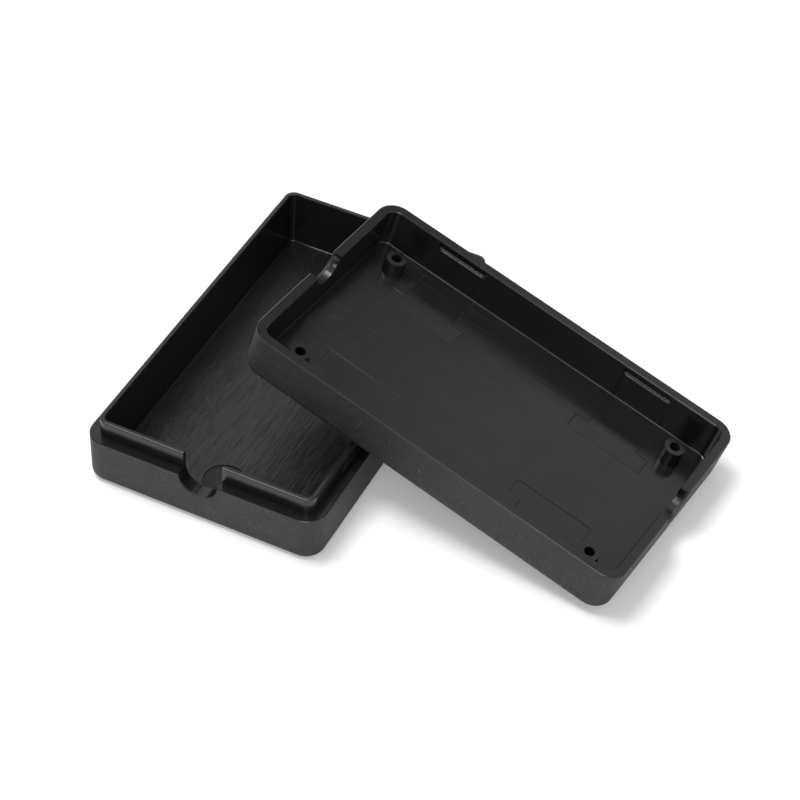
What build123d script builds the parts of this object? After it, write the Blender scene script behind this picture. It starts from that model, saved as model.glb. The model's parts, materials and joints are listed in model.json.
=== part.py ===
from build123d import *
import os
from math import cos, hypot, radians, sin, tan

# Injection moulded plastic housing: two half shells that snap together.
# The base lies flat and open upwards, its underside centred on the origin and
# its length along X.  The cover lies open upwards too, crosswise over the
# base's -Y side: its underside leans on the base's tongue and the corner of
# its far end stands on the ground.  All sizes are in millimetres and degrees.

# ---- Overall shell sizes ------------------------------------------------
box_length = 100.0           # outside length at the parting plane
box_width = 60.0             # outside width at the parting plane
base_height = 12.5           # underside of the base to its parting plane
cover_height = 12.5          # underside of the cover to its parting plane
wall_draft = 1.0             # draft of the outer walls, degrees
corner_radius = 5.0          # upright outer corners at the parting plane
bottom_round = 2.0           # round between outer walls and underside
rim_break = 0.2              # broken edges of the rims and the ledge

# ---- Cover walls --------------------------------------------------------
cover_wall = 2.4             # thickness of the cover's upright walls
cover_floor = 1.8            # thickness of the cover's floor
floor_round = 0.5            # small round where inner walls meet a floor

# ---- Base walls and the tongue that enters the cover --------------------
lip_clearance = 0.1          # gap between tongue and cover wall when closed
tongue_wall = 1.2            # thickness of the tongue
tongue_height = 4.35         # tongue above the parting plane
tongue_round = 0.3           # round on the tongue's outer top edge
tongue_inner_break = 0.2     # broken inner top edge of the tongue
base_floor = 1.8             # thickness of the base's floor

# ---- Snap windows in the cover, snap beads on the base ------------------
window_spacing = 53.4        # centre to centre of the two windows in a wall
window_length = 13.4         # along the wall
window_height = 2.0          # across the wall
window_depth = 0.8           # into the wall
window_from_rim = 1.7        # parting plane to the middle of a window
window_corner = 0.6          # rounded window corners
sill_drop = 0.35             # fall of a window's sill towards the room
sill_overcut = 0.2           # how far the sill's cut starts inside the room
bead_end_clearance = 0.15    # bead shorter than its window at each end
bead_side_clearance = 0.4    # bead lower than its window, above and below
bead_tip_clearance = 0.3     # bead tip to the window's bottom when closed
bead_tip_width = 0.5         # flat on the tip of a bead
bead_root = 0.3              # how far a bead reaches into the tongue

# ---- Standoffs on the cover's floor -------------------------------------
standoff_spacing_x = 80.0    # centre to centre along the cover
standoff_spacing_y = 41.5    # centre to centre across the cover
standoff_diameter = 5.0      # at the top
standoff_height = 4.3        # above the cover's floor
standoff_draft = 2.0         # taper of the standoffs, degrees
pilot_diameter = 2.6         # pilot hole for a self-tapping screw
pilot_depth = 4.9            # from the top of the standoff, blind

# ---- Cable notches in the short ends ------------------------------------
notch_radius = 4.95          # half-round notch centred on the parting plane

# ---- Marks left on the cover by the slides that form the windows --------
slide_head_width = 20.1      # wide end of a slide's mark, along the cover
slide_head_depth = 4.9       # wide end of a slide's mark, across the cover
slide_reach = 16.3           # from the wall towards the middle of the floor
slide_corner = 1.0           # rounded corners of the wide end
slide_sink = 0.08            # the mark lies this much below the floor
wall_mark_sink = 0.05        # and this much behind the wall under a window

# ---- Round mark in the base's floor -------------------------------------
mark_diameter = 10.0
mark_depth = 0.25
mark_from_end = 12.5         # centre of the mark to the base's outer end

# ---- How the cover lies on the base -------------------------------------
cover_tilt = 13.69           # slope of the cover's floor, degrees
cover_yaw = 6.58             # turn of the cover within its own floor, degrees
cover_shift = 0.42           # middle of the cover along the base's length
seat_gap = 0.02              # left between the cover and the tongue it rests on
ground_gap = 0.01            # left between the cover's low corner and the ground

# ---- Sizes that follow --------------------------------------------------
ledge_width = cover_wall + lip_clearance
tongue_length = box_length - 2 * ledge_width
tongue_width = box_width - 2 * ledge_width
tongue_corner = corner_radius - ledge_width
tongue_top = base_height + tongue_height
base_room_length = tongue_length - 2 * tongue_wall
base_room_width = tongue_width - 2 * tongue_wall
base_room_corner = tongue_corner - tongue_wall
cover_room_length = box_length - 2 * cover_wall
cover_room_width = box_width - 2 * cover_wall
cover_room_corner = corner_radius - cover_wall
window_reach = cover_room_width / 2 + window_depth
window_middle = cover_height - window_from_rim
sill_level = window_middle - window_height / 2
sill_length = window_length - 2 * window_corner
sill_inner = cover_room_width / 2 - sill_overcut
sill_fall = sill_drop * (window_depth + sill_overcut) / window_depth
bead_length = window_length - 2 * bead_end_clearance
bead_base_width = window_height - 2 * bead_side_clearance
bead_tip = window_reach - bead_tip_clearance
bead_middle = base_height + window_from_rim
bead_foot = tongue_width / 2 - bead_root
bead_face = tongue_width / 2
standoff_top = cover_floor + standoff_height
standoff_spread = standoff_height * tan(radians(standoff_draft))
standoff_foot_radius = standoff_diameter / 2 + standoff_spread
mark_centre = mark_from_end - box_length / 2
slide_head_middle = cover_room_width / 2 - slide_reach + slide_head_depth / 2
slide_neck_end = cover_room_width / 2 - floor_round
slide_neck_length = slide_neck_end - slide_head_middle
slide_neck_middle = (slide_neck_end + slide_head_middle) / 2
wall_mark_foot = cover_floor + floor_round
wall_mark_height = window_middle - wall_mark_foot
wall_mark_middle = wall_mark_foot + wall_mark_height / 2
wall_mark_reach = cover_room_width / 2 + wall_mark_sink

# ---- Seat of the cover --------------------------------------------------
tilt = radians(cover_tilt)
yaw = radians(cover_yaw)
up = Vector(0, -sin(tilt), cos(tilt))
along_base = Vector(1, 0, 0)
up_slope = Vector(0, cos(tilt), sin(tilt))
cover_x = up_slope * -cos(yaw) - along_base * sin(yaw)
draft_inset = cover_height * tan(radians(wall_draft))
low_x = cos(yaw) * sin(tilt)
low_y = sin(yaw) * sin(tilt)
foot_corner = corner_radius - draft_inset
foot_x = box_length / 2 - corner_radius
foot_y = box_width / 2 - corner_radius
foot_drop = low_x * foot_x + low_y * foot_y
foot_drop = foot_drop + (foot_corner - bottom_round) * hypot(low_x, low_y)
foot_drop = foot_drop + bottom_round * (1 - cos(tilt))
seat_z = foot_drop + ground_gap
edge_y = tongue_round - tongue_width / 2
edge_z = tongue_top - tongue_round
edge_reach = cos(tilt) * (edge_z - seat_z) + tongue_round + seat_gap
seat_y = edge_y - edge_reach / sin(tilt)
cover_seat = Plane(origin=(cover_shift, seat_y, seat_z), x_dir=cover_x, z_dir=up)
cover_up = Axis(cover_seat.origin, cover_seat.z_dir)
cover_end = Plane(cover_seat.origin, x_dir=cover_seat.y_dir, z_dir=cover_seat.x_dir)
cover_side = Plane(cover_seat.origin, x_dir=cover_seat.x_dir, z_dir=-cover_seat.y_dir)

os.makedirs("parts", exist_ok=True)

# ---- Base shell ---------------------------------------------------------
with BuildPart() as base_shell:
    # Drafted outer body with rounded corners and a rounded bottom edge.
    with BuildSketch(Plane.XY.offset(base_height)):
        RectangleRounded(box_length, box_width, corner_radius)
    extrude(amount=-base_height, taper=wall_draft)
    fillet(base_shell.faces().sort_by(Axis.Z)[0].edges(), radius=bottom_round)
    chamfer(base_shell.faces().sort_by(Axis.Z)[-1].edges(), length=rim_break)
    # Tongue standing inside the ledge.
    with BuildSketch(Plane.XY.offset(base_height)):
        RectangleRounded(tongue_length, tongue_width, tongue_corner)
    extrude(amount=tongue_height)
    fillet(base_shell.faces().sort_by(Axis.Z)[-1].edges(), radius=tongue_round)
    # Room inside, straight from the tongue's top to the floor.
    with BuildSketch(Plane.XY.offset(base_floor)):
        RectangleRounded(base_room_length, base_room_width, base_room_corner)
    extrude(amount=tongue_top - base_floor, mode=Mode.SUBTRACT)
    base_levels = base_shell.faces().filter_by(Axis.Z).sort_by(Axis.Z)
    fillet(base_levels[1].edges(), radius=floor_round)
    base_levels = base_shell.faces().filter_by(Axis.Z).sort_by(Axis.Z)
    chamfer(base_levels[-1].inner_wires()[0].edges(), length=tongue_inner_break)
    # Snap beads, two on each long side of the tongue.
    for bead_start in (window_spacing / 2 - bead_length / 2, -window_spacing / 2 - bead_length / 2):
        for side in (1, -1):
            with BuildSketch(Plane.YZ.offset(bead_start)):
                with BuildLine():
                    Polyline(
                        (side * bead_foot, bead_middle - bead_base_width / 2),
                        (side * bead_face, bead_middle - bead_base_width / 2),
                        (side * bead_tip, bead_middle - bead_tip_width / 2),
                        (side * bead_tip, bead_middle + bead_tip_width / 2),
                        (side * bead_face, bead_middle + bead_base_width / 2),
                        (side * bead_foot, bead_middle + bead_base_width / 2),
                        close=True,
                    )
                make_face()
            extrude(amount=bead_length)
    # Cable notches: half round below the parting plane, straight above it.
    with BuildSketch(Plane.YZ.offset(-box_length / 2)):
        with Locations((0, base_height)):
            Circle(notch_radius)
        with Locations((0, base_height + tongue_height / 2)):
            Rectangle(2 * notch_radius, tongue_height)
    extrude(amount=box_length, mode=Mode.SUBTRACT)
    # Shallow round mark in the floor.
    with BuildSketch(Plane.XY.offset(base_floor)):
        with Locations((mark_centre, 0)):
            Circle(mark_diameter / 2)
    extrude(amount=-mark_depth, mode=Mode.SUBTRACT)
base_shell.part.label = "base_shell"
export_step(base_shell.part, "parts/base_shell.step")

# ---- Cover shell --------------------------------------------------------
with BuildPart() as cover_shell:
    # Drafted outer body, like the base's.
    with BuildSketch(cover_seat.offset(cover_height)):
        RectangleRounded(box_length, box_width, corner_radius)
    extrude(amount=-cover_height, taper=wall_draft)
    fillet(cover_shell.faces().sort_by(cover_up)[0].edges(), radius=bottom_round)
    chamfer(cover_shell.faces().sort_by(cover_up)[-1].edges(), length=rim_break)
    # Room inside.
    with BuildSketch(cover_seat.offset(cover_floor)):
        RectangleRounded(cover_room_length, cover_room_width, cover_room_corner)
    extrude(amount=cover_height - cover_floor, mode=Mode.SUBTRACT)
    cover_levels = cover_shell.faces().filter_by(cover_up).sort_by(cover_up)
    fillet(cover_levels[1].edges(), radius=floor_round)
    cover_levels = cover_shell.faces().filter_by(cover_up).sort_by(cover_up)
    chamfer(cover_levels[-1].inner_wires()[0].edges(), length=rim_break)
    # Four standoffs on the floor.
    with BuildSketch(cover_seat.offset(cover_floor)):
        with GridLocations(standoff_spacing_x, standoff_spacing_y, 2, 2):
            Circle(standoff_foot_radius)
    extrude(amount=standoff_height, taper=standoff_draft)
    with BuildSketch(cover_seat.offset(standoff_top)):
        with GridLocations(standoff_spacing_x, standoff_spacing_y, 2, 2):
            Circle(pilot_diameter / 2)
    extrude(amount=-pilot_depth, mode=Mode.SUBTRACT)
    # Marks of the slides: faint steps in the floor and up the long walls.
    with BuildSketch(cover_seat.offset(cover_floor)):
        with GridLocations(window_spacing, 2 * slide_head_middle, 2, 2):
            RectangleRounded(slide_head_width, slide_head_depth, slide_corner)
        with GridLocations(window_spacing, 2 * slide_neck_middle, 2, 2):
            Rectangle(window_length, slide_neck_length)
    extrude(amount=-slide_sink, mode=Mode.SUBTRACT)
    with BuildSketch(cover_side):
        with Locations((0, wall_mark_middle)):
            with GridLocations(window_spacing, 1, 2, 1):
                Rectangle(window_length, wall_mark_height)
    extrude(amount=wall_mark_reach, both=True, mode=Mode.SUBTRACT)
    # Snap windows, cut from the middle outwards into both long walls.
    with BuildSketch(cover_side):
        with Locations((0, window_middle)):
            with GridLocations(window_spacing, 1, 2, 1):
                RectangleRounded(window_length, window_height, window_corner)
    extrude(amount=window_reach, both=True, mode=Mode.SUBTRACT)
    # Sloping sill under each window.
    for sill_start in (window_spacing / 2 - sill_length / 2, -window_spacing / 2 - sill_length / 2):
        for side in (1, -1):
            with BuildSketch(cover_end.offset(sill_start)):
                with BuildLine():
                    Polyline(
                        (side * sill_inner, sill_level),
                        (side * window_reach, sill_level),
                        (side * sill_inner, sill_level - sill_fall),
                        close=True,
                    )
                make_face()
            extrude(amount=sill_length, mode=Mode.SUBTRACT)
    # Half-round cable notches through both short ends.
    with BuildSketch(cover_end.offset(-box_length / 2)):
        with Locations((0, cover_height)):
            Circle(notch_radius)
    extrude(amount=box_length, mode=Mode.SUBTRACT)
cover_shell.part.label = "cover_shell"
export_step(cover_shell.part, "parts/cover_shell.step")
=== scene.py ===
import json
import math

import bpy
from bpy.props import FloatProperty, FloatVectorProperty, PointerProperty
from mathutils import Euler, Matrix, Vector

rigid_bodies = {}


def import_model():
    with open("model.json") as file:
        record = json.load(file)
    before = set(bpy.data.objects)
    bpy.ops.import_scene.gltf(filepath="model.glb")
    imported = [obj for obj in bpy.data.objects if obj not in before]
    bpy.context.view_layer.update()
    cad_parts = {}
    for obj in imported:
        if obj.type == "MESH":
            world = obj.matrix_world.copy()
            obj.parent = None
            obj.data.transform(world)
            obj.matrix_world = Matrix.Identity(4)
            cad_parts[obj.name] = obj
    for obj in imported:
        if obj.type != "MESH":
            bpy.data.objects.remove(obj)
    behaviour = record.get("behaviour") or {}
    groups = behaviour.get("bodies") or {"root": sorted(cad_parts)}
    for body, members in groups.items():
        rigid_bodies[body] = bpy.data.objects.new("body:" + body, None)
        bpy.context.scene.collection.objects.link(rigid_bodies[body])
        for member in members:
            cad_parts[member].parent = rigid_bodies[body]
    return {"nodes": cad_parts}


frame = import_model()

bl_info = {
    "name": "Snap Housing Finish",
    "version": (1, 0, 0),
    "blender": (4, 5, 0),
    "location": "View3D > Sidebar > Housing",
    "description": "Moulded plastic finishes for a two-shell housing, and its studio stage",
    "category": "Material",
}

MM = 0.001
BASE = "base_shell"
COVER = "cover_shell"

# Shapes of the shells, in millimetres, as the solids have them.
HALF_LENGTH = 50.0
HALF_WIDTH = 30.0
CORNER = 5.0
PARTING = 12.5
BASE_WALL = 3.7
COVER_WALL = 2.4
WINDOW_MIDDLE = 26.7
WINDOW_HALF = 6.7
SILL_LOW = 9.3
SILL_HIGH = 9.95
WINDOW_TOP = 11.9
SLIDE_END_MIDDLE = 13.75
SLIDE_END_HALF = (10.05, 2.45)
SLIDE_NECK_MIDDLE = 22.0
SLIDE_NECK_HALF = 8.2
MARK_MIDDLE = -37.5
MARK_RADIUS = 5.0
MARK_EDGE = 0.1

# Where the cover lies: its slope, its turn and the middle of its underside.
COVER_TILT = math.radians(13.69)
COVER_YAW = math.radians(6.58)
COVER_SEAT = Vector((0.42, -47.3004, 11.9831))

# Where each kind of skin starts and is full, in millimetres of depth into the wall or of height.
SKIN_DEPTH = (0.55, 0.75)
UNDERSIDE_HEIGHT = (0.9, 1.2)
PARTING_EDGE = (PARTING - 0.22, PARTING - 0.12)
ROOM_FROM_WALL = (0.25, 0.45)
FLOOR_START = (1.2, 1.4)
FLOOR_END = (2.2, 2.5)
WALL_START = (2.4, 2.8)
MARK_INSIDE = (COVER_WALL - 0.9, COVER_WALL - 0.8)
POCKET_START = (1.3, 1.5)
POCKET_END = (2.26, 2.34)

# How the cover's floor changes along its length or width: between which places, and the shares there.
STREAK_FADE = (-12.0, 18.0)
STREAK_RELIEF_SHARES = (0.65, 0.10)
STREAK_TONE_AND_SHEEN_SHARES = (1.9, 0.1)
OUTLINE_FADE = (-5.0, 5.0)
OUTLINE_TONE_SHARES = (0.55, 0.15)
FAINT_ALONG = (5.0, 15.0)
FAINT_ACROSS = (-15.0, -5.0)
FAINT_SHARES = (0.65, 0.0)

# Relief of the skin in millimetres.
RIPPLE_RELIEF = 0.006
STREAK_RELIEF = 0.076
STIPPLE_RELIEF = 0.30
OUTLINE_RELIEF = -0.05
SCORE_RELIEF = 0.02
SCORE_RADIANS_PER_MM = 16.0

# Tones that wear, dust and tools give to the plastic, and how far they cover it. The drawn streak tone is
# partly painted sheen; the pocket tone is painted shade in the window pockets and on the slide marks' part
# of the wall; the scuffed tone is partly painted highlight on the sills.
SPECKLE = (0.029, 0.029, 0.030, 1.0)
SPECKLE_SHARE = 0.8
DRAWN_TONE_AND_SHEEN = (0.0125, 0.0125, 0.0125, 1.0)
DRAWN_AND_SHEEN_SHARE = 0.5
WORN_OUTLINE = (0.030, 0.030, 0.030, 1.0)
POCKET_PAINTED_SHADE = (0.0012, 0.0012, 0.0012, 1.0)
WALL_PAINTED_SHADE_SHARE = 0.25
SCUFF_AND_HIGHLIGHT = (0.20, 0.20, 0.20, 1.0)
DUST = (0.25, 0.25, 0.24, 1.0)
DUST_SHARES = (0.03, 0.40)

# Streaks: where each shell's pattern starts, and how much wider the cover's are.
BASE_SEED = 3.0
COVER_SEED = 8.0
COVER_COARSE = 1.4

# Roughness of each kind of skin.
SMOOTH_ROUGHNESS = 0.20
GRAINED_ROUGHNESS = 0.60
DRAWN_ROUGHNESS = (0.16, 0.24)
STIPPLED_ROUGHNESS = 0.42
SMEAR_ROUGHNESS = 0.04
PLASTIC_IOR = 1.52

# The studio, in metres.
FLOOR_REACH = 6.0
GLOW_DISTANCE = (0.28, 1.6)
GLOW_FAR = 0.85
SOFTBOX_TARGET = (0.0, -0.03, 0.0)
OVERHEAD_PLACE = (-0.04, 0.26, 0.95)
FRONT_PLACE = (-1.0, -0.35, 0.75)
SENSOR_WIDTH = 36.0
CLIP_RANGE = (0.01, 50.0)

# Dim gaps of the surround, in degrees of heading: start, end, softness, and how dim they are.
SKY_GAPS = ((-4.5, 14.0, 4.0, 0.75), (-75.0, -20.0, 5.0, 0.78), (58.0, 168.0, 12.0, 0.68))

for left_over in [o for o in bpy.data.objects if o.name in {"Cube", "Light", "Camera"}]:
    bpy.data.objects.remove(left_over)
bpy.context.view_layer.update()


# ---------------------------------------------------------------- settings
class ShellFinish(bpy.types.PropertyGroup):
    """Colour and surface of the moulded plastic."""

    plastic: FloatVectorProperty(
        name="Plastic colour", description="Colour of the smooth plastic",
        default=(0.0064, 0.0065, 0.0064), subtype="COLOR", min=0.0, max=1.0)
    grained: FloatVectorProperty(
        name="Grained colour", description="Colour of the spark-grained outside",
        default=(0.0036, 0.0037, 0.0038), subtype="COLOR", min=0.0, max=1.0)
    grain_size: FloatProperty(
        name="Grain size", description="Width of one grain of the outside texture",
        default=0.00028, unit="LENGTH", min=0.00005, max=0.002)
    grain_height: FloatProperty(
        name="Grain height", description="Height of the outside texture",
        default=0.000034, unit="LENGTH", min=0.0, max=0.0005)
    streak_width: FloatProperty(
        name="Streak width", description="Width of one tool streak on the floors",
        default=0.00031, unit="LENGTH", min=0.00005, max=0.005)


class StageSetup(bpy.types.PropertyGroup):
    """Floor, lights and camera."""

    floor_colour: FloatVectorProperty(
        name="Floor colour", description="Colour of the pale floor",
        default=(0.79, 0.79, 0.79), subtype="COLOR", min=0.0, max=1.0)
    floor_lift: FloatProperty(
        name="Floor lift", description="Light that the floor shows of its own near the housing",
        default=0.14, min=0.0, max=1.0)
    sky_strength: FloatProperty(
        name="Surround", description="Strength of the soft light from all round",
        default=0.82, min=0.0, max=2.0)
    overhead_power: FloatProperty(
        name="Overhead power", description="Power of the softbox overhead",
        default=8.5, unit="POWER", min=0.0, max=200.0)
    overhead_size: FloatProperty(
        name="Overhead size", description="Side of the square softbox overhead",
        default=0.48, unit="LENGTH", min=0.05, max=3.0)
    front_power: FloatProperty(
        name="Front power", description="Power of the softbox beside the camera",
        default=4.6, unit="POWER", min=0.0, max=200.0)
    front_size: FloatProperty(
        name="Front size", description="Side of the square softbox beside the camera",
        default=0.7, unit="LENGTH", min=0.05, max=3.0)
    lens: FloatProperty(
        name="Lens", description="Focal length on a 36 mm sensor",
        default=109.962, unit="CAMERA", min=20.0, max=300.0)
    eye: FloatVectorProperty(
        name="Camera place", description="Where the camera stands",
        default=(-0.383895, -0.18912, 0.403944), subtype="TRANSLATION", unit="LENGTH")
    aim: FloatVectorProperty(
        name="Camera turn", description="Which way the camera looks",
        default=tuple(math.radians(a) for a in (46.4077, -2.8127, -64.3788)),
        subtype="EULER", unit="ROTATION")


# ------------------------------------------------------------ node helpers
class Wiring:
    """Short calls that add nodes to one node tree and join them up."""

    def __init__(self, tree):
        self.nodes = tree.nodes
        self.links = tree.links

    def plug(self, value, socket):
        if isinstance(value, bpy.types.NodeSocket):
            self.links.new(value, socket)
        else:
            socket.default_value = value

    def math(self, operation, *values):
        node = self.nodes.new("ShaderNodeMath")
        node.operation = operation
        for value, socket in zip(values, node.inputs):
            self.plug(value, socket)
        return node.outputs[0]

    def times(self, product, *factors):
        for factor in factors:
            product = self.math("MULTIPLY", product, factor)
        return product

    def plus(self, total, *values):
        for value in values:
            total = self.math("ADD", total, value)
        return total

    def rest(self, share):
        """What a share leaves of 1."""
        return self.math("SUBTRACT", 1.0, share)

    def vector(self, operation, *values):
        node = self.nodes.new("ShaderNodeVectorMath")
        node.operation = operation
        for value, socket in zip(values, node.inputs):
            self.plug(value, socket)
        return node.outputs["Value" if operation in {"LENGTH", "DOT_PRODUCT"} else "Vector"]

    def grow(self, value, factor):
        node = self.nodes.new("ShaderNodeVectorMath")
        node.operation = "SCALE"
        self.plug(value, node.inputs[0])
        self.plug(factor, node.inputs["Scale"])
        return node.outputs["Vector"]

    def split(self, value):
        node = self.nodes.new("ShaderNodeSeparateXYZ")
        self.plug(value, node.inputs[0])
        return node.outputs

    def join(self, x, y, z):
        node = self.nodes.new("ShaderNodeCombineXYZ")
        for value, socket in zip((x, y, z), node.inputs):
            self.plug(value, socket)
        return node.outputs[0]

    def ramp(self, value, low, high, to_low=0.0, to_high=1.0):
        node = self.nodes.new("ShaderNodeMapRange")
        node.interpolation_type = "SMOOTHSTEP"
        for key, number in (("Value", value), ("From Min", low), ("From Max", high),
                            ("To Min", to_low), ("To Max", to_high)):
            self.plug(number, node.inputs[key])
        return node.outputs["Result"]

    def fall(self, value, low, high):
        """1 below low and 0 above high."""
        return self.ramp(value, low, high, 1.0, 0.0)

    def band(self, value, low, high, soft):
        """1 between low and high, 0 outside, with soft sides."""
        rise = self.ramp(value, low - soft, low + soft)
        return self.times(rise, self.fall(value, high - soft, high + soft))

    def noise(self, place, scale, detail=2.0, roughness=0.5, distortion=0.0):
        node = self.nodes.new("ShaderNodeTexNoise")
        self.plug(place, node.inputs["Vector"])
        for key, number in (("Scale", scale), ("Detail", detail),
                            ("Roughness", roughness), ("Distortion", distortion)):
            self.plug(number, node.inputs[key])
        return node.outputs["Fac"]

    def cells(self, place, scale):
        node = self.nodes.new("ShaderNodeTexVoronoi")
        self.plug(place, node.inputs["Vector"])
        self.plug(scale, node.inputs["Scale"])
        return node.outputs["Distance"]

    def mix(self, amount, one, other):
        return self.plus(self.times(self.rest(amount), one), self.times(amount, other))

    def blend(self, amount, one, other):
        node = self.nodes.new("ShaderNodeMix")
        node.data_type = "RGBA"
        self.plug(amount, node.inputs["Factor"])
        self.plug(one, node.inputs[6])
        self.plug(other, node.inputs[7])
        return node.outputs[2]

    def group(self, tree, **values):
        node = self.nodes.new("ShaderNodeGroup")
        node.node_tree = tree
        for key, value in values.items():
            self.plug(value, node.inputs[key])
        return node.outputs


def new_group(name, inputs, outputs):
    """An empty shader node group with its sockets, and the wiring inside it."""
    tree = bpy.data.node_groups.new(name, "ShaderNodeTree")
    for label, kind in inputs:
        tree.interface.new_socket(name=label, in_out="INPUT", socket_type=kind)
    for label, kind in outputs:
        tree.interface.new_socket(name=label, in_out="OUTPUT", socket_type=kind)
    wiring = Wiring(tree)
    entry = tree.nodes.new("NodeGroupInput").outputs
    leave = tree.nodes.new("NodeGroupOutput").inputs
    return tree, wiring, entry, leave


def once(name, make):
    """The node group of that name, made the first time it is asked for."""
    return bpy.data.node_groups.get(name) or make(name)


VALUE = "NodeSocketFloat"
PLACE = "NodeSocketVector"


def box_gap(w, x, y, half_x, half_y):
    """How far a point lies outside a rectangle round the origin, and below 0 inside it."""
    over_x = w.math("SUBTRACT", w.math("ABSOLUTE", x), half_x)
    over_y = w.math("SUBTRACT", w.math("ABSOLUTE", y), half_y)
    outside = w.vector("LENGTH", w.join(w.math("MAXIMUM", over_x, 0.0), w.math("MAXIMUM", over_y, 0.0), 0.0))
    return w.plus(outside, w.math("MINIMUM", w.math("MAXIMUM", over_x, over_y), 0.0))


def make_wall_depth(name):
    """How deep a point lies inside the rounded outline of a shell, in mm."""
    tree, w, entry, leave = new_group(name, [("Place", PLACE)], [("Depth", VALUE)])
    x, y, _ = w.split(entry["Place"])
    from_core = box_gap(w, x, y, HALF_LENGTH - CORNER, HALF_WIDTH - CORNER)
    w.plug(w.math("SUBTRACT", CORNER, from_core), leave["Depth"])
    return tree


def make_spark_grain(name):
    """Fine pitted grain of a spark-eroded mould face."""
    tree, w, entry, leave = new_group(
        name, [("Place", PLACE), ("Grain", VALUE)], [("Height", VALUE), ("Speckle", VALUE)])
    place = entry["Place"]
    scale = w.math("DIVIDE", 1.0, entry["Grain"])
    pits = w.cells(place, scale)
    fine = w.noise(place, w.times(scale, 1.7), 3.0, 0.65)
    middle = w.noise(place, w.times(scale, 0.85), 2.0, 0.6)
    broad = w.noise(place, w.times(scale, 0.22), 2.0, 0.5)
    w.plug(w.plus(w.times(pits, 0.6), w.times(fine, 0.7)), leave["Height"])
    speckle = w.plus(w.times(w.ramp(middle, 0.47, 0.68), 0.8),
                     w.times(w.ramp(fine, 0.50, 0.7), 0.4),
                     w.times(w.ramp(broad, 0.35, 0.7), 0.10))
    w.plug(speckle, leave["Speckle"])
    return tree


def make_tool_streaks(name):
    """Long thin polishing streaks that run along X, in layers from long ones to short dashes."""
    tree, w, entry, leave = new_group(
        name, [("Place", PLACE), ("Width", VALUE), ("Seed", VALUE)], [("Height", VALUE), ("Tone", VALUE)])
    x, y, _ = w.split(entry["Place"])
    seed = entry["Seed"]
    across = w.math("DIVIDE", y, entry["Width"])

    def layer(along, over, detail, roughness):
        return w.noise(w.join(w.times(x, along), w.times(across, over), seed), 1.0, detail, roughness)

    long_x = w.times(x, 0.05)
    wave = w.noise(w.join(long_x, w.times(y, 0.05), seed), 1.2, 1.0)
    fine = w.noise(w.join(long_x, w.plus(across, w.times(wave, 0.5)), seed), 1.0, 4.0, 0.62)
    broad = layer(0.03, 0.17, 3.0, 0.6)
    short = layer(0.15, 1.3, 2.0, 0.6)
    dash = w.ramp(layer(0.09, 1.5, 1.0, 0.5), 0.54, 0.68)
    w.plug(w.plus(fine, w.times(broad, 0.28), w.times(short, 0.35), w.times(dash, -0.30)), leave["Height"])
    tone = w.plus(w.times(w.ramp(fine, 0.4, 0.65), 0.6), w.times(w.ramp(short, 0.55, 0.75), 0.5))
    w.plug(tone, leave["Tone"])
    return tree


def make_slide_marks(name):
    """The T-shaped marks that the window slides leave: their area and outline."""
    tree, w, entry, leave = new_group(name, [("Place", PLACE)], [("Area", VALUE), ("Outline", VALUE)])
    x, y, _ = w.split(entry["Place"])
    along = w.math("SUBTRACT", w.math("ABSOLUTE", x), WINDOW_MIDDLE)
    across = w.math("ABSOLUTE", y)
    end = box_gap(w, along, w.math("SUBTRACT", across, SLIDE_END_MIDDLE), *SLIDE_END_HALF)
    neck = box_gap(w, along, w.math("SUBTRACT", across, SLIDE_NECK_MIDDLE), WINDOW_HALF, SLIDE_NECK_HALF)
    gap = w.math("MINIMUM", end, neck)
    w.plug(w.fall(gap, -0.05, 0.05), leave["Area"])
    w.plug(w.fall(w.math("ABSOLUTE", gap), 0.04, 0.13), leave["Outline"])
    return tree


def make_handling(name):
    """Faint smears and dust of a part that has been handled."""
    tree, w, entry, leave = new_group(
        name, [("Place", PLACE)], [("Smear", VALUE), ("Dust", VALUE), ("Ripple", VALUE)])
    place = entry["Place"]
    w.plug(w.ramp(w.noise(place, 0.11, 4.0, 0.55, 0.6), 0.42, 0.66), leave["Smear"])
    dots = w.fall(w.cells(place, 1.6), 0.10, 0.24)
    w.plug(w.times(dots, w.ramp(w.noise(place, 0.23, 2.0), 0.52, 0.62)), leave["Dust"])
    w.plug(w.noise(place, 0.35, 2.0, 0.5), leave["Ripple"])
    return tree


# --------------------------------------------------------------- materials
def shell_place(w, seat):
    """Place on the surface in a shell's own millimetres, as it was moulded."""
    place = w.grow(w.nodes.new("ShaderNodeTexCoord").outputs["Object"], 1.0 / MM)
    if seat is None:
        return place
    origin, axes = seat
    moved = w.vector("SUBTRACT", place, tuple(origin))
    return w.join(*[w.vector("DOT_PRODUCT", moved, tuple(axis)) for axis in axes])


def cover_seat():
    """Where the cover's own origin and axes lie in the frame."""
    up = Vector((0.0, -math.sin(COVER_TILT), math.cos(COVER_TILT)))
    along = Vector((-math.sin(COVER_YAW), -math.cos(COVER_YAW) * math.cos(COVER_TILT),
                    -math.cos(COVER_YAW) * math.sin(COVER_TILT)))
    return COVER_SEAT, (along, up.cross(along), up)


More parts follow.
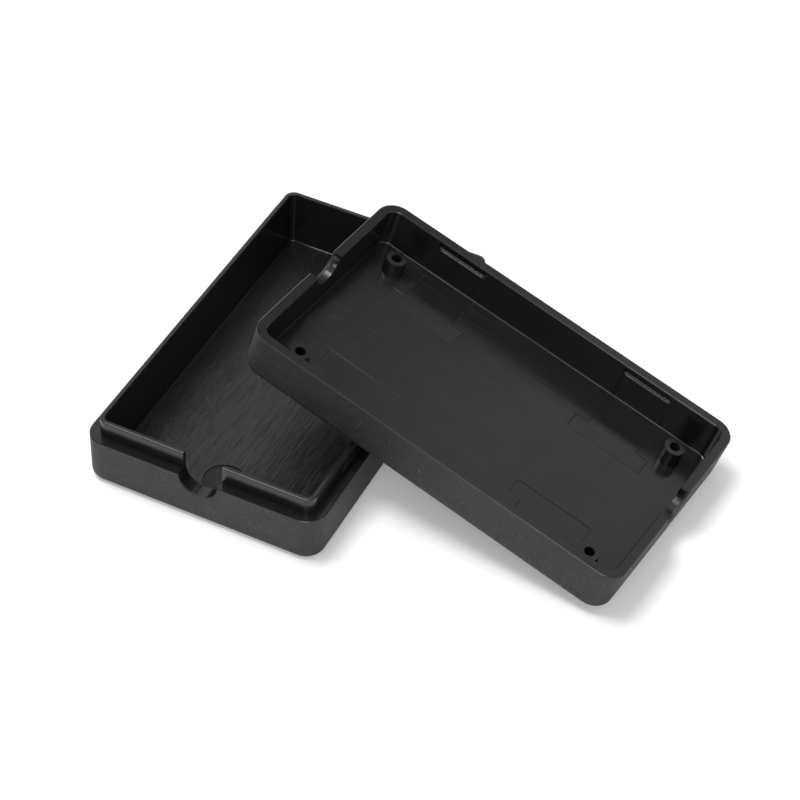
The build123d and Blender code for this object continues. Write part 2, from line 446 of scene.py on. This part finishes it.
class Skin:
    """One shell's plastic while its material is put together, with what both shells share."""

    def __init__(self, name, look, seat, wall, seed, coarse=1.0):
        self.material = bpy.data.materials.new(name)
        self.material.use_nodes = True
        self.material.node_tree.nodes.clear()
        self.w = Wiring(self.material.node_tree)
        w = self.w
        self.place = shell_place(w, seat)
        place = self.place
        self.x, self.y, self.z = w.split(place)
        self.depth = w.group(once("Wall Depth", make_wall_depth), Place=place)["Depth"]
        self.grain = w.group(once("Spark Grain", make_spark_grain), Place=place, Grain=look.grain_size / MM)
        self.streaks = w.group(once("Tool Streaks", make_tool_streaks), Place=place,
                               Width=look.streak_width / MM * coarse, Seed=seed)
        self.handled = w.group(once("Handling", make_handling), Place=place)

        outer = w.math("MAXIMUM", w.fall(self.depth, *SKIN_DEPTH), w.fall(self.z, *UNDERSIDE_HEIGHT))
        self.outside = w.times(w.fall(self.z, *PARTING_EDGE), outer)
        room = w.ramp(self.depth, *[wall + step for step in ROOM_FROM_WALL])
        self.ground = w.times(room, w.fall(self.z, *FLOOR_END), w.ramp(self.z, *FLOOR_START))
        self.streaked = self.ground
        # Lighter tone along the floor streaks, partly their own tone and partly painted sheen of their
        # glints.
        self.drawn_and_sheen = w.times(self.streaks["Tone"], self.ground, DRAWN_AND_SHEEN_SHARE)
        self.stippled = 0.0

        self.height = w.plus(w.times(self.grain["Height"], self.outside, look.grain_height / MM),
                             w.times(self.handled["Ripple"], RIPPLE_RELIEF))
        self.tone = w.blend(self.outside, (*look.plastic, 1.0), (*look.grained, 1.0))
        self.tint(w.times(self.grain["Speckle"], self.outside, SPECKLE_SHARE), SPECKLE)

    def tint(self, share, colour):
        """Takes the tone towards a colour."""
        self.tone = self.w.blend(share, self.tone, colour)

    def emboss(self, share, relief):
        """Raises the skin, or sinks it where the relief is below 0."""
        self.height = self.w.plus(self.height, self.w.times(share, relief))

    def finish(self):
        """Lays streaks with their tone and painted sheen, smears and dust over the skin, and joins it to a
        shader.
        """
        w = self.w
        self.tint(self.drawn_and_sheen, DRAWN_TONE_AND_SHEEN)
        self.emboss(w.times(self.streaks["Height"], self.streaked), STREAK_RELIEF)
        self.tint(w.times(self.handled["Dust"], w.mix(self.outside, *DUST_SHARES)), DUST)
        rough = w.mix(self.outside, SMOOTH_ROUGHNESS, GRAINED_ROUGHNESS)
        rough = w.mix(self.ground, rough, w.mix(self.streaks["Tone"], *DRAWN_ROUGHNESS))
        rough = w.mix(self.stippled, rough, STIPPLED_ROUGHNESS)
        rough = w.plus(rough, w.times(self.handled["Smear"], SMEAR_ROUGHNESS))

        shader = w.nodes.new("ShaderNodeBsdfPrincipled")
        shader.inputs["IOR"].default_value = PLASTIC_IOR
        w.plug(self.tone, shader.inputs["Base Color"])
        w.plug(rough, shader.inputs["Roughness"])
        bump = w.nodes.new("ShaderNodeBump")
        bump.inputs["Strength"].default_value = 1.0
        bump.inputs["Distance"].default_value = MM
        w.plug(self.height, bump.inputs["Height"])
        w.plug(bump.outputs["Normal"], shader.inputs["Normal"])
        out = w.nodes.new("ShaderNodeOutputMaterial")
        w.plug(shader.outputs["BSDF"], out.inputs["Surface"])
        return self.material


def add_round_mark(skin):
    """The stippled round mark in the base's floor."""
    w = skin.w
    off = w.vector("LENGTH", w.join(w.math("SUBTRACT", skin.x, MARK_MIDDLE), skin.y, 0.0))
    skin.stippled = w.times(w.fall(off, MARK_RADIUS - MARK_EDGE, MARK_RADIUS), skin.ground)
    stipple = w.plus(w.times(w.noise(skin.place, 2.2, 2.0, 0.6), 0.6), skin.grain["Height"])
    skin.emboss(w.times(stipple, skin.stippled), STIPPLE_RELIEF)


def add_slide_marks(skin):
    """The cover's slide marks: fine worn outlines, clean of streaks. Gives their part on the wall, which the
    windows darken with painted shade.
    """
    w = skin.w
    marks = w.group(once("Slide Marks", make_slide_marks), Place=skin.place)
    inside = w.ramp(skin.depth, *MARK_INSIDE)
    faint = w.times(w.ramp(skin.x, *FAINT_ALONG), w.ramp(skin.y, *FAINT_ACROSS, *FAINT_SHARES))
    outline = w.times(marks["Outline"], inside, w.rest(faint))
    skin.emboss(outline, OUTLINE_RELIEF)
    worn = w.times(outline, w.ramp(skin.x, *OUTLINE_FADE, *OUTLINE_TONE_SHARES), skin.ground)
    skin.tint(worn, WORN_OUTLINE)
    streak_share = w.ramp(skin.x, *STREAK_FADE, *STREAK_RELIEF_SHARES)
    skin.streaked = w.times(skin.ground, w.rest(marks["Area"]), streak_share)
    # The streaks' tone and painted sheen fade along the cover's floor, strongest towards its -x end.
    skin.drawn_and_sheen = w.times(skin.drawn_and_sheen, w.ramp(skin.x, *STREAK_FADE, *STREAK_TONE_AND_SHEEN_SHARES))
    return w.times(marks["Area"], inside, w.ramp(skin.z, *WALL_START))


def add_windows(skin, shaded_wall):
    """The cover's windows: pockets darkened with painted shade, over sills that the slides have scored and
    scuffed, lightened further with a painted highlight.
    """
    w = skin.w
    pocket = w.times(w.fall(skin.depth, *POCKET_END), w.ramp(skin.depth, *POCKET_START))
    on_sill = w.times(w.band(skin.z, SILL_LOW, SILL_HIGH, 0.05), pocket)
    pocket_shade = w.times(w.band(skin.z, SILL_LOW, WINDOW_TOP, 0.08), pocket)
    scores = w.math("SINE", w.times(skin.depth, SCORE_RADIANS_PER_MM))
    skin.emboss(w.times(scores, on_sill), SCORE_RELIEF)
    # Painted shade: the window pockets go near-black, and the slide marks' part on the wall a quarter of the
    # way.
    skin.tint(w.math("MAXIMUM", w.times(shaded_wall, WALL_PAINTED_SHADE_SHARE), pocket_shade), POCKET_PAINTED_SHADE)
    patches = w.noise(w.join(w.times(skin.x, 2.6), w.times(skin.depth, 9.0), skin.z), 1.0, 3.0, 0.7)
    # The sills are lightened where scores and patches meet: scuffing, with a painted highlight of the sloped
    # sill over it.
    scuff_and_highlight = w.times(w.ramp(scores, -0.6, 0.8), w.ramp(patches, 0.36, 0.62))
    skin.tint(w.times(scuff_and_highlight, on_sill), SCUFF_AND_HIGHLIGHT)


def base_plastic(look):
    """The base shell's finish."""
    skin = Skin("Base plastic", look, None, BASE_WALL, BASE_SEED)
    add_round_mark(skin)
    return skin.finish()


def cover_plastic(look):
    """The cover shell's finish, with slightly coarser streaks."""
    skin = Skin("Cover plastic", look, cover_seat(), COVER_WALL, COVER_SEED, COVER_COARSE)
    add_windows(skin, add_slide_marks(skin))
    return skin.finish()


def dress(node, material):
    """Gives a shell of the frame its finish in place of the plain one."""
    slots = frame["nodes"][node].data.materials
    slots.clear()
    slots.append(material)


class HOUSING_OT_finish_base(bpy.types.Operator):
    """Give the base shell its moulded finish"""

    bl_idname = "housing.finish_base"
    bl_label = "Finish Base Shell"

    def execute(self, context):
        dress(BASE, base_plastic(context.scene.housing_finish))
        return {"FINISHED"}


class HOUSING_OT_finish_cover(bpy.types.Operator):
    """Give the cover shell its moulded finish"""

    bl_idname = "housing.finish_cover"
    bl_label = "Finish Cover Shell"

    def execute(self, context):
        dress(COVER, cover_plastic(context.scene.housing_finish))
        return {"FINISHED"}


# ------------------------------------------------------------------- stage
def make_floor(setup):
    """A wide pale floor that keeps the shadows and fades to white."""
    mesh = bpy.data.meshes.new("studio_floor")
    low, high = -FLOOR_REACH, FLOOR_REACH
    mesh.from_pydata([(low, low, 0), (high, low, 0), (high, high, 0), (low, high, 0)], [], [(0, 1, 2, 3)])
    floor = bpy.data.objects.new("studio_floor", mesh)
    bpy.context.scene.collection.objects.link(floor)
    material = bpy.data.materials.new("Pale floor")
    material.use_nodes = True
    material.node_tree.nodes.clear()
    w = Wiring(material.node_tree)
    paper = w.nodes.new("ShaderNodeBsdfDiffuse")
    paper.inputs["Color"].default_value = (*setup.floor_colour, 1.0)
    glow = w.nodes.new("ShaderNodeEmission")
    path = w.nodes.new("ShaderNodeLightPath")
    seen = w.math("MAXIMUM", path.outputs["Is Camera Ray"], path.outputs["Is Glossy Ray"])
    seen = w.math("MAXIMUM", seen, path.outputs["Is Transmission Ray"])
    away = w.vector("LENGTH", w.nodes.new("ShaderNodeTexCoord").outputs["Object"])
    w.plug(w.times(seen, w.ramp(away, *GLOW_DISTANCE, setup.floor_lift, GLOW_FAR)), glow.inputs["Strength"])
    both = w.nodes.new("ShaderNodeAddShader")
    w.plug(paper.outputs[0], both.inputs[0])
    w.plug(glow.outputs[0], both.inputs[1])
    out = w.nodes.new("ShaderNodeOutputMaterial")
    w.plug(both.outputs[0], out.inputs["Surface"])
    mesh.materials.append(material)


def make_sky(setup):
    """Soft white surround with dimmer gaps, plain white where the camera sees it."""
    world = bpy.data.worlds.new("Studio surround")
    bpy.context.scene.world = world
    world.use_nodes = True
    world.node_tree.nodes.clear()
    w = Wiring(world.node_tree)
    x, y, _ = w.split(w.nodes.new("ShaderNodeTexCoord").outputs["Generated"])
    heading = w.math("DEGREES", w.math("ARCTAN2", y, x))
    level = 1.0
    for start, end, soft, dim in SKY_GAPS:
        level = w.math("SUBTRACT", level, w.times(w.band(heading, start, end, soft), dim))
    # Mirrored rays keep the dim gaps, which give the smooth black plastic its shading.
    path = w.nodes.new("ShaderNodeLightPath")
    seen = w.math("MAXIMUM", path.outputs["Is Camera Ray"], path.outputs["Is Transmission Ray"])
    back = w.nodes.new("ShaderNodeBackground")
    back.inputs["Color"].default_value = (1.0, 1.0, 1.0, 1.0)
    w.plug(w.mix(seen, w.times(level, setup.sky_strength), 1.0), back.inputs["Strength"])
    out = w.nodes.new("ShaderNodeOutputWorld")
    w.plug(back.outputs[0], out.inputs["Surface"])


def make_softbox(name, place, side, power):
    """One square softbox, aimed at the housing."""
    lamp = bpy.data.lights.new(name, "AREA")
    lamp.shape = "SQUARE"
    lamp.size = side
    lamp.energy = power
    box = bpy.data.objects.new(name, lamp)
    box.location = place
    box.rotation_euler = (Vector(SOFTBOX_TARGET) - Vector(place)).to_track_quat("-Z", "Y").to_euler()
    bpy.context.scene.collection.objects.link(box)


def make_camera(setup):
    """The camera that looks down on the housing."""
    lens = bpy.data.cameras.new("studio_camera")
    lens.lens = setup.lens
    lens.sensor_width = SENSOR_WIDTH
    lens.clip_start, lens.clip_end = CLIP_RANGE
    camera = bpy.data.objects.new("studio_camera", lens)
    camera.location = setup.eye
    camera.rotation_euler = Euler(setup.aim)
    bpy.context.scene.collection.objects.link(camera)
    bpy.context.scene.camera = camera


class HOUSING_OT_set_stage(bpy.types.Operator):
    """Lay the floor, hang the lights and stand the camera"""

    bl_idname = "housing.set_stage"
    bl_label = "Set Stage"

    def execute(self, context):
        setup = context.scene.housing_stage
        make_floor(setup)
        make_sky(setup)
        make_softbox("overhead_softbox", OVERHEAD_PLACE, setup.overhead_size, setup.overhead_power)
        make_softbox("front_softbox", FRONT_PLACE, setup.front_size, setup.front_power)
        make_camera(setup)
        context.scene.view_settings.view_transform = "Standard"
        return {"FINISHED"}


class HOUSING_PT_panel(bpy.types.Panel):
    """Lists the steps that finish the housing."""

    bl_label = "Housing"
    bl_idname = "HOUSING_PT_panel"
    bl_space_type = "VIEW_3D"
    bl_region_type = "UI"
    bl_category = "Housing"

    def draw(self, context):
        layout = self.layout
        for step in STEPS:
            layout.operator(step.bl_idname)
        for holder in (context.scene.housing_finish, context.scene.housing_stage):
            box = layout.box()
            for key in holder.bl_rna.properties.keys():
                if key not in {"rna_type", "name"}:
                    box.prop(holder, key)


STEPS = (HOUSING_OT_finish_base, HOUSING_OT_finish_cover, HOUSING_OT_set_stage)
CLASSES = (ShellFinish, StageSetup, *STEPS, HOUSING_PT_panel)


def register():
    for cls in CLASSES:
        bpy.utils.register_class(cls)
    bpy.types.Scene.housing_finish = PointerProperty(type=ShellFinish)
    bpy.types.Scene.housing_stage = PointerProperty(type=StageSetup)


def unregister():
    del bpy.types.Scene.housing_stage
    del bpy.types.Scene.housing_finish
    for cls in reversed(CLASSES):
        bpy.utils.unregister_class(cls)


def main():
    register()
    bpy.ops.housing.finish_base()
    bpy.ops.housing.finish_cover()
    bpy.ops.housing.set_stage()


if __name__ == "__main__":
    main()
